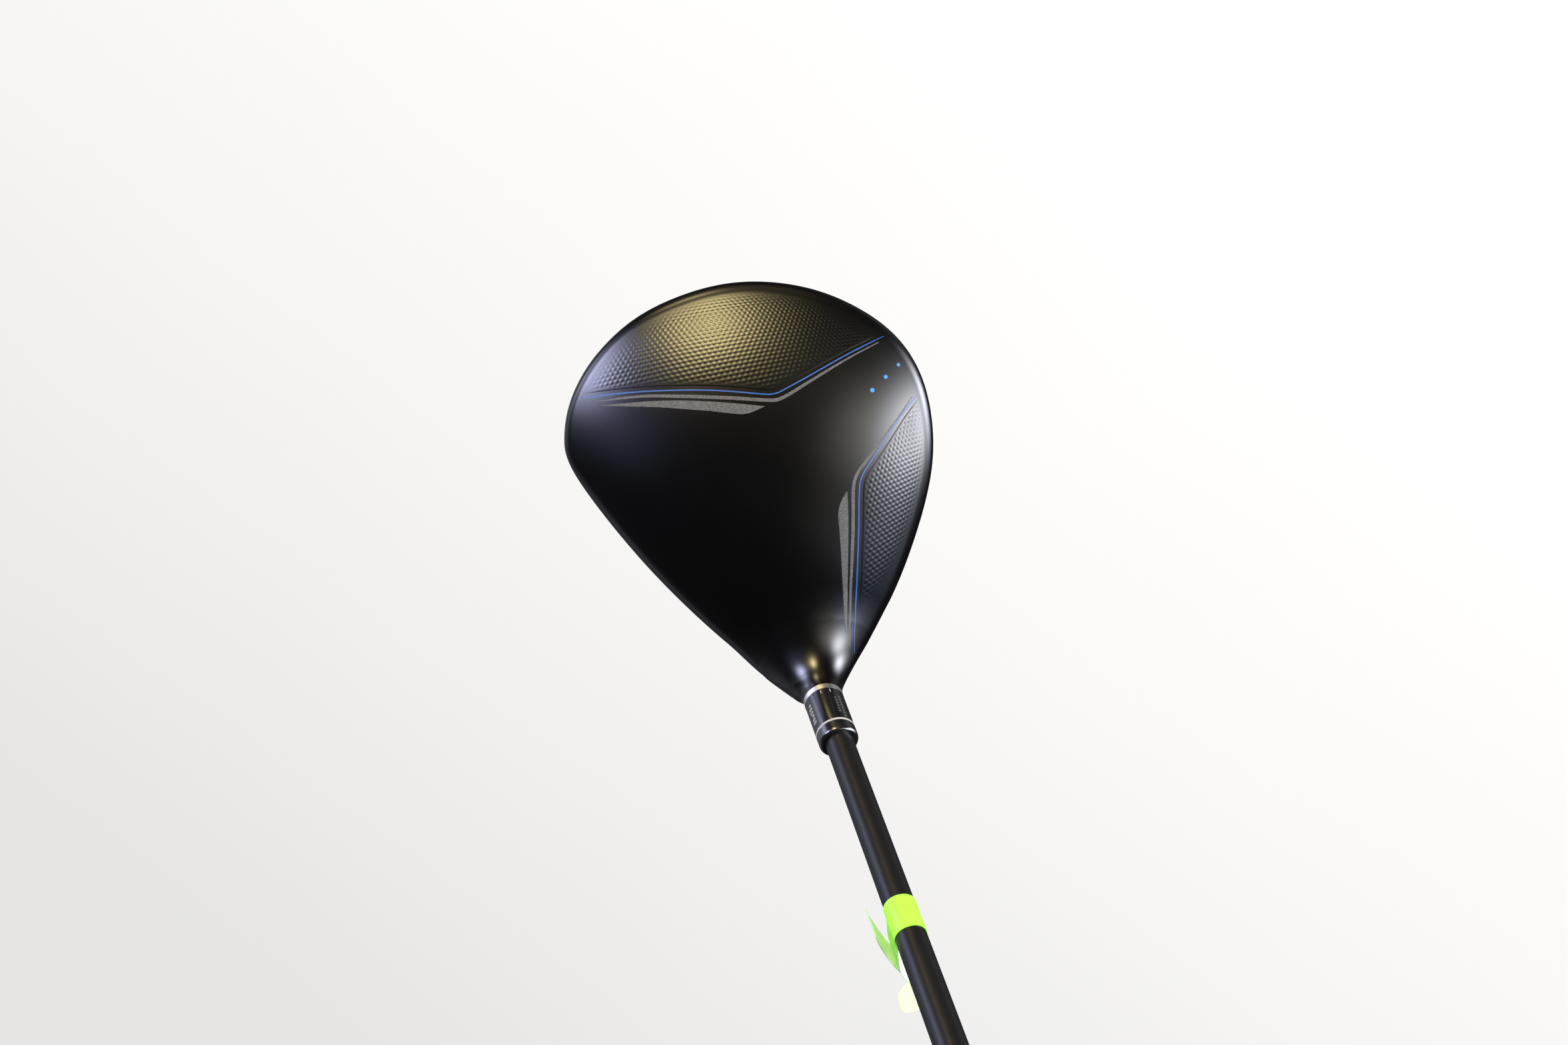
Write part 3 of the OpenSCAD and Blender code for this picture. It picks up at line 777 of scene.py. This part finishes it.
def panel(name, line, sign, lo, hi, turn, gap=1.35):
    du, dv = PITCH / GRID, PITCH * math.sqrt(3) / 2 / (GRID - 1)
    n, m = int((hi[0] - lo[0]) / du), int((hi[1] - lo[1]) / dv)
    i, j = np.meshgrid(np.arange(n + 1), np.arange(m + 1), indexing="ij")
    uv = np.stack([lo[0] + i * du, lo[1] + j * dv], -1).reshape(-1, 2)
    P = np.full((len(uv), 3), -999.0)
    d_line = sign * side_of(line, uv) - gap
    ok = (d_line > -1.5) & (np.hypot(uv[:, 0] - 2, uv[:, 1] + 4) < 92)
    P[ok] = crown_at(uv[ok])
    ok &= P[:, 2] > 20
    edge = np.full(len(uv), -9.0)
    edge[ok] = np.minimum(d_line[ok], seam_g(P[ok]) - 0.35)
    a = (i[:-1, :-1] * (m + 1) + j[:-1, :-1]).ravel()
    Q = np.stack([a, a + m + 1, a + m + 2, a + 1], 1)
    Q = Q[(edge[Q] > -1.2).all(1) & ok[Q].all(1)]
    T = np.concatenate([Q[:, [0, 1, 2]], Q[:, [0, 2, 3]]])
    UV = np.concatenate([uv, np.zeros((len(uv), 1))], 1)

    def g(X):
        p = crown_at(X[..., :2])
        return np.minimum(sign * side_of(line, X[..., :2]) - gap, seam_g(p) - 0.35)

    up = np.array([0.0, 0, 1.0])
    X, T = clip(UV, T, g, 0.09, both=lambda q: np.broadcast_to(up, q.shape))
    P = crown_at(X[:, :2])
    e, rim = sign * side_of(line, X[:, :2]) - gap, np.clip((seam_g(P) - 0.35) / 3.5, 0, 1)
    rim = rim * rim * (3 - 2 * rim)
    c, s = math.cos(turn), math.sin(turn)
    q = np.stack([c * X[:, 0] + s * X[:, 1], -s * X[:, 0] + c * X[:, 1]], 1)
    k = 2 * math.pi / (PITCH * math.sqrt(3) / 2)
    wave = sum(np.cos(k * (q[:, 0] * math.cos(t) + q[:, 1] * math.sin(t))) for t in (math.pi / 6, math.pi / 2, 5 * math.pi / 6))
    fade = np.clip((e - 0.2) / 2.2, 0, 1)
    h = 0.02 + 0.05 * np.clip(e / 0.35, 0, 1) * rim + 0.017 * (wave + 1.0) * fade * fade * (3 - 2 * fade) * rim
    N = unit(slope(field, P))
    n = len(P)
    E = walls(T)
    sides = np.stack([E[:, 1], E[:, 0], E[:, 0] + n, E[:, 1] + n], 1)
    V = np.concatenate([P + N * h[:, None], P - N * 0.35])
    return put(name, V, [T, T[:, ::-1] + n, sides], "panel_black", "head", sharp=60)


panel("crown_panel_toe", extended(BLUE_T, 20, 20), 1, (0.0, -84.0), (72.0, 34.0), 0.0)
panel("crown_panel_heel", extended(BLUE_H, 20, 14), 1, (-74.0, -84.0), (-15.0, 20.0), math.radians(-4))

# ------------------------------------------------------------------ face


def on_face(P):
    P = np.asarray(P, float)
    x, y = P[..., 0], P[..., 1]
    z = np.sqrt(FACE_R**2 - x * x - y * y) - FACE_R + P[..., 2]
    return FACE_C + x[..., None] * FX + y[..., None] * FY + z[..., None] * FACE_N


def scores():
    out = []
    for y in np.arange(-16, 18.1, 4.25):
        for x0, x1 in ((-30 + abs(y) * 0.35, -12), (16, 36 - abs(y) * 0.35)):
            x = np.linspace(x0, x1, 24)
            t = np.array([(x, np.full(24, y + s * 0.4), np.full(24, h)) for s, h in ((-1, -0.3), (-1, 0.015), (1, 0.015), (1, -0.3))])
            P = on_face(np.moveaxis(t, 1, 2)).transpose(1, 0, 2)
            i, k = np.meshgrid(np.arange(23), np.arange(4), indexing="ij")
            a, b, l = (i * 4 + k).ravel(), ((i + 1) * 4 + k).ravel(), ((k + 1) % 4)
            Q = np.stack([(i * 4 + k).ravel(), ((i + 1) * 4 + k).ravel(), ((i + 1) * 4 + l).ravel(), (i * 4 + l).ravel()], 1)
            out.append((P.reshape(-1, 3), [Q, np.array([[0, 1, 2, 3]]), np.array([[95, 94, 93, 92]])]))
    return joined(out)


V, F = scores()
put("face_scores", V, F, "score_paint", "head", sharp=30)

# ------------------------------------------------------------------ shaft side


def shaft_profile():
    a = np.concatenate([[56, 60], np.arange(64, 110, 6), np.linspace(110, 1158.5, 120)])
    outer = [(float(shaft_r(x)), x) for x in a]
    return outer + [(6.6, 1158.5), (2.6, 160), (2.6, 56)]


V, Q = turned(shaft_profile(), 96, on_hosel)
put("shaft_tube", V, [Q], "shaft_paint", "shaft_assembly", ["shaft"], sharp=30)


def patch_on_tube(r, a0, a1, t0, t1, top=0.03, n=10, under=0.15):
    """thin film on a cylinder about the hosel axis, between two angles (degrees) and two stations"""
    t = np.radians(np.linspace(t0, t1, n))
    a = np.array([a0, a1])
    out = []
    for rr in (r - under, r + top):
        out.append(np.stack([np.stack([rr * np.cos(t), rr * np.sin(t), np.full(n, x)], -1) for x in a], 1))
    P = np.concatenate([out[1].reshape(-1, 3), out[0].reshape(-1, 3)])
    o = 2 * n
    i = np.arange(n - 1) * 2
    T = np.stack([i, i + 2, i + 3, i + 1], 1)
    have = {(int(x), int(y)) for q in T for x, y in zip(q, np.roll(q, -1))}
    E = np.array([e for e in have if (e[1], e[0]) not in have])
    return on_hosel(P), [T, T[:, ::-1] + o, np.stack([E[:, 1], E[:, 0], E[:, 0] + o, E[:, 1] + o], 1)]


def ticks():
    out = [patch_on_tube(6.35, 80.6, 82.0, t - 1.5, t + 1.5, n=4) for t in (120, 150, 303, 330)]
    return joined(out)


V, F = ticks()
put("sleeve_ticks", V, F, "mark_white", "shaft_assembly", sharp=30)


def sleeve_bars():
    """plain setting marks round the sleeve, in place of words"""
    out = []
    for c in (22, 198):
        for k in range(6):
            out.append(patch_on_tube(6.35, 83.0 + 1.5 * k, 84.0 + 1.5 * k, c - 8, c + (8 if k % 3 else 3), n=8))
    return joined(out)


def sleeve_dashes():
    out = []
    for c in (288, 111):
        for k in range(8):
            out.append(patch_on_tube(6.35, 83.6 + 1.25 * k, 84.4 + 1.25 * k, c - 11, c - 3, n=6))
            if k < 6:
                out.append(patch_on_tube(6.35, 84.2 + 1.25 * k, 85.0 + 1.25 * k, c + 3, c + 10, n=6))
    return joined(out)


V, F = sleeve_bars()
put("sleeve_marks", V, F, "mark_white", "shaft_assembly", sharp=30)
V, F = sleeve_dashes()
put("sleeve_dashes", V, F, "mark_grey", "shaft_assembly", sharp=30)

# tape: a band round the shaft with two free ends
LAB_A, LAB_W, LAB_T = 170.0, 12.5, 0.2
E1 = np.array([-0.485, -0.875])
E2 = np.array([-0.875, 0.485])


def tape():
    r = float(shaft_r(LAB_A + LAB_W)) + 0.05 + LAB_T / 2
    th = np.radians(np.arange(0, 360, 4))
    band = np.stack([r * np.cos(th), r * np.sin(th)], 1)
    flag = smooth_line([(-6.5, 13.6), (-7.5, 10.4), (-8.3, 7), (-8.9, 3), (-9.4, -1), (-9.5, -4.8)], 0.4)
    web = smooth_line([(-4.6, 1.7), (-5.6, 6), (-6.4, 10), (-6.4, 13.6), (-5.0, 17), (-3.9, 20), (-3.6, 23), (-4.2, 26)], 0.5)
    end = smooth_line([(-4.2, 26), (-6.1, 28.4), (-8.0, 30.8), (-9.7, 33.4), (-10.8, 36.5)], 0.4)
    return band, flag, web, end


def flag_rows(n):
    """stations of a strip's two edges along its length: the flag narrows to a point"""
    k = np.linspace(0, 1, n)
    return 0.6 * k, LAB_W - 0.6 * k


def web_rows(n):
    k = np.linspace(0, 1, n)
    return 5.0 * k**1.6, LAB_W + 5.0 * k**1.6


def end_rows(n):
    """the loose end drifts along the shaft and is rounded off"""
    k = np.linspace(0, 1, n)
    lo = 5.0 - 2.4 * k
    hi = 17.5 - 9.5 * k**1.3
    r = np.sqrt(np.clip(1 - (np.clip(k - 0.72, 0, 1) / 0.285) ** 2, 0.02, 1))
    mid = (lo + hi) / 2
    return mid - (mid - lo) * r, mid + (hi - mid) * r


def strip_of(line, closed, edges=None):
    """closed film along a line in the plane across the shaft; the first face block is its outer side"""
    n = len(line)
    nxt, prv = np.roll(line, -1, 0), np.roll(line, 1, 0)
    if not closed:
        nxt[-1], prv[0] = line[-1], line[0]
    t = unit(nxt - prv)
    nn = np.stack([t[:, 1], -t[:, 0]], 1)
    A = np.linspace(0, 1, 8)
    lo, hi = (np.zeros(n), np.full(n, LAB_W)) if edges is None else edges(n)
    out, inn = line + nn * LAB_T / 2, line - nn * LAB_T / 2
    z = LAB_A + lo[:, None] + (hi - lo)[:, None] * A[None, :]

    def rows(p):
        xy = p[:, :1] * E1 + p[:, 1:2] * E2
        return np.concatenate([np.repeat(xy[:, None], 8, 1), z[..., None]], -1)

    V = on_hosel(np.concatenate([rows(out).reshape(-1, 3), rows(inn).reshape(-1, 3)]))
    o, m = n * 8, 8
    cnt = n if closed else n - 1
    i, j = np.meshgrid(np.arange(cnt), np.arange(m - 1), indexing="ij")
    a, b = (i * m + j).ravel(), (((i + 1) % n) * m + j).ravel()
    Qo = np.stack([a, a + 1, b + 1, b], 1)
    Qi = Qo[:, ::-1] + o
    have = {(int(x), int(y)) for q in Qo for x, y in zip(q, np.roll(q, -1))}
    E = np.array([e for e in have if (e[1], e[0]) not in have])
    side = np.stack([E[:, 1], E[:, 0], E[:, 0] + o, E[:, 1] + o], 1)
    return V, [Qo, Qi, side]


band, flag, web, end = tape()
bits = [strip_of(band, True), strip_of(flag, False, flag_rows), strip_of(web, False, web_rows), strip_of(end, False, end_rows)]
V, F = joined(bits)
put("tape_label", V, F, ["neon_film", "neon_back", "neon_pale", "tape_edge", "tape_paper"], "shaft_assembly",
    ["shaft_label"], which=[0, 0, 0, 1, 1, 3, 1, 2, 3, 4, 4, 4], sharp=50)


def grip():
    a0, a1 = 894.0, 1158.0
    base = [(float(shaft_r(a0)) + 2.3, a0), (float(shaft_r(a0)) + 3.0, 897), (9.3, 914), (10.6, 1014), (12.6, 1128), (13.6, 1154), (13.6, 1157), (13.2, 1158)]
    n, m = 160, (330)
    a = np.concatenate([[894.0, 894.6, 895.6, 897], np.linspace(898.5, 1152, m), [1153.5, 1155, 1156.2, 1157, 1157.5, 1158]])
    t = np.linspace(0, 2 * np.pi, n, endpoint=False)
    r = np.interp(a, [q[1] for q in base], [q[0] for q in base])
    A, TH = np.meshgrid(a, t, indexing="xy")
    R = np.repeat(r[None], n, 0)
    # moulded diamonds in two sections, with plain bands between
    for lo, hi in ((908, 1000), (1012, 1140)):
        w = np.clip(np.minimum(A - lo, hi - A) / 3, 0, 1)
        p, q = np.cos(10 * TH + A * 1.1), np.cos(10 * TH - A * 1.1)
        R = R - 0.28 * w * (np.clip(p - 0.55, 0, 1) / 0.45 + np.clip(q - 0.55, 0, 1) / 0.45).clip(0, 1)
    for c in (1004, 1008):
        R = R - 0.35 * np.exp(-(((A - c) / 0.7) ** 2))
    outer = np.stack([R * np.cos(TH), R * np.sin(TH), A], -1)
    ri = [(float(shaft_r(1158.5)) + 0.3, 1158.0), (float(shaft_r(894)) + 0.3, 894.0)]
    inner = np.stack([np.stack([x * np.cos(t), x * np.sin(t), np.full(n, y)], -1) for x, y in ri], 1)
    P = np.concatenate([outer, inner], 1)
    m = P.shape[1]
    i, k = np.meshgrid(np.arange(n), np.arange(m), indexing="ij")
    j, l = (i + 1) % n, (k + 1) % m
    Q = np.stack([i * m + k, j * m + k, j * m + l, i * m + l], -1).reshape(-1, 4)
    return on_hosel(P.reshape(-1, 3)), [Q]


V, F = grip()
put("grip_sleeve", V, F, "grip_rubber", "shaft_assembly", ["grip"], sharp=50)

# ------------------------------------------------------------------ CAD nodes that stay as they are, with their finishes

for node, mat, slot in (
        ("grip_cap", "grip_rubber", "grip_cap_rubber"), ("grip_tape", "tape_cloth", "tape"), ("loft_sleeve", "gloss_black", "sleeve_black"),
        ("seat_ring", "ring_steel", "ring_steel"), ("ferrule", "ferrule_black", "ferrule_plastic"), ("ferrule_ring", "ring_white", "ring_white"),
        ("tip_weight", "brass", "brass_plug"), ("face_plate", "face_metal", "face_titanium"), ("slot_filler", "slot_rubber", "slot_rubber"),
        ("rattle_pad", "hot_melt", "hot_melt"), ("screw_washer", "washer_steel", "washer_steel"), ("screw_retainer", "nylon", "retainer_nylon"),
        ("hosel_screw", "screw_steel", "screw_steel"), ("weight_o_ring", "o_ring", "o_ring_rubber"), ("sole_weight", "weight_steel", "weight_steel")):
    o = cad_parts[node]
    o.data.materials.clear()
    o.data.materials.append(MATS[mat])

# ------------------------------------------------------------------ floor, light and camera

m, nt, b = material("floor_white", (0.05, 0.05, 0.05), 0.9)
nt.links.new(ramp(nt, noise(nt, coords(nt), 3, 2), [(0.3, (0.045, 0.045, 0.045)), (0.7, (0.055, 0.055, 0.055))]), b.inputs["Base Color"])
# painted shade: the floor's own glow is strongest at one side and fades from 0.985 to 0.70 along a slanted line across
# it, a painted fall-off of light
painted_shade_slant = nt.nodes.new("ShaderNodeVectorMath")
painted_shade_slant.operation = "DOT_PRODUCT"
nt.links.new(coords(nt), painted_shade_slant.inputs[0])
painted_shade_slant.inputs[1].default_value = (-0.12, 1, 0)
painted_falloff = nt.nodes.new("ShaderNodeMapRange")
for k, x in zip(("From Min", "From Max", "To Min", "To Max"), (-0.22, 0.52, 0.985, 0.70)):
    painted_falloff.inputs[k].default_value = x
nt.links.new(painted_shade_slant.outputs["Value"], painted_falloff.inputs["Value"])
nt.links.new(painted_falloff.outputs["Result"], b.inputs["Emission Strength"])
b.inputs["Emission Color"].default_value = (1.0, 0.995, 0.985, 1)
me = bpy.data.meshes.new("floor")
me.from_pydata([(-4, -4, -0.35), (4, -4, -0.35), (4, 4, -0.35), (-4, 4, -0.35)], [], [(0, 1, 2, 3)])
me.materials.append(MATS["floor_white"])
floor = bpy.data.objects.new("floor", me)
bpy.context.scene.collection.objects.link(floor)
floor.visible_glossy = False

# the plain pale room the camera sees behind the floor; it lights nothing
m, nt, b = material("backdrop_white", (0.0, 0.0, 0.0), 1.0)
nt.links.new(ramp(nt, noise(nt, coords(nt), 0.5, 1), [(0.3, (0.80, 0.80, 0.79)), (0.7, (0.82, 0.82, 0.81))]), b.inputs["Emission Color"])
b.inputs["Emission Strength"].default_value = 1.0
m.cycles.emission_sampling = "NONE"
me = bpy.data.meshes.new("backdrop")
me.from_pydata([(x, y, z) for x in (-7, 7) for y in (-7, 7) for z in (-7, 7)], [],
               [(0, 1, 3, 2), (4, 6, 7, 5), (0, 4, 5, 1), (2, 3, 7, 6), (0, 2, 6, 4), (1, 5, 7, 3)])
me.materials.append(MATS["backdrop_white"])
room = bpy.data.objects.new("backdrop", me)
bpy.context.scene.collection.objects.link(room)
room.visible_diffuse = room.visible_glossy = room.visible_transmission = room.visible_shadow = False

world = bpy.data.worlds.new("studio")
bpy.context.scene.world = world
world.use_nodes = True
wt = world.node_tree
sky = wt.nodes.new("ShaderNodeTexCoord").outputs["Generated"]


def vec_node(op, a, b=None, scale=None):
    n = wt.nodes.new("ShaderNodeVectorMath")
    n.operation = op
    for k, x in enumerate((a, b)):
        if x is None:
            continue
        if isinstance(x, tuple):
            n.inputs[k].default_value = x
        else:
            wt.links.new(x, n.inputs[k])
    if scale is not None:
        wt.links.new(scale, n.inputs["Scale"])
    return n.outputs["Value" if op == "DOT_PRODUCT" else "Vector"]


def math_node(op, a, *rest):
    n = wt.nodes.new("ShaderNodeMath")
    n.operation = op
    wt.links.new(a, n.inputs[0])
    for k, x in enumerate(rest):
        n.inputs[k + 1].default_value = x
    return n.outputs[0]


def glow(az, el, soft, color):
    """a soft round patch of light in the room: direction and softness in degrees, and its radiance"""
    a, e = math.radians(az), math.radians(el)
    k = 1 / math.radians(soft) ** 2
    d = vec_node("DOT_PRODUCT", sky, (math.cos(a) * math.cos(e), math.sin(a) * math.cos(e), math.sin(e)))
    return vec_node("SCALE", color, scale=math_node("EXPONENT", math_node("MULTIPLY_ADD", d, k, -k)))


total = None
for az, el, soft, color in (
        (-38, 37, 6, (33.0, 27.0, 12.5)), (-38, 40, 11, (1.6, 1.3, 0.8)), (-26, 2, 5, (12.0, 9.6, 4.8)), (-45, -2, 12, (0.6, 0.46, 0.28)),
        (9, 31, 7, (20.0, 21.0, 31.0)), (22, -8, 7, (4.2, 4.4, 6.2)), (14, 12, 8, (3.0, 3.2, 4.8)), (36, -6, 12, (0.6, 0.7, 0.9)),
        (-128, 23, 8, (25.0, 25.5, 27.5)), (-124, -7, 9, (26.0, 26.5, 29.0)), (-128, -22, 8, (4.0, 4.2, 5.0)),
        (-116, 43, 10, (2.3, 2.2, 1.8)), (-146, 30, 8, (0.8, 1.0, 1.8)), (16, 54, 10, (0.4, 0.5, 0.9)),
        (88, 6, 17, (0.42, 0.43, 0.48)), (60, -58, 20, (0.16, 0.16, 0.17)), (-22, -19, 6, (0.35, 0.28, 0.15)), (45, -30, 14, (0.30, 0.32, 0.40)), (-95, -48, 12, (0.25, 0.25, 0.25))):
    g = glow(az, el, soft, color)
    total = g if total is None else vec_node("ADD", total, g)
total = vec_node("ADD", total, (0.02, 0.02, 0.022))
wt.links.new(total, wt.nodes["Background"].inputs["Color"])
wt.nodes["Background"].inputs["Strength"].default_value = 1.0

cam = bpy.data.cameras.new("camera")
cam.sensor_fit = "HORIZONTAL"
cam.sensor_width = 36.0
cam.lens = 4100 * 36.0 / 2353
cam.clip_start, cam.clip_end = 0.02, 20
co = bpy.data.objects.new("camera", cam)
bpy.context.scene.collection.objects.link(co)
right = Vector((-0.70945692, -0.6875873, -0.15457869))
up = Vector((0.69718138, -0.65269165, -0.29653285))
back = Vector((0.1030, -0.31814667, 0.94242968))
rot = Matrix((right.normalized(), up.normalized(), back.normalized())).transposed().to_4x4()
co.matrix_world = Matrix.Translation(Vector((75.9391, -275.5270, 872.7944)) * MM) @ rot
bpy.context.scene.camera = co

sc = bpy.context.scene
sc.view_settings.view_transform = "Standard"
sc.view_settings.look = "None"
sc.view_settings.exposure = 0.0
sc.view_settings.gamma = 1.0

bpy.context.view_layer.update()
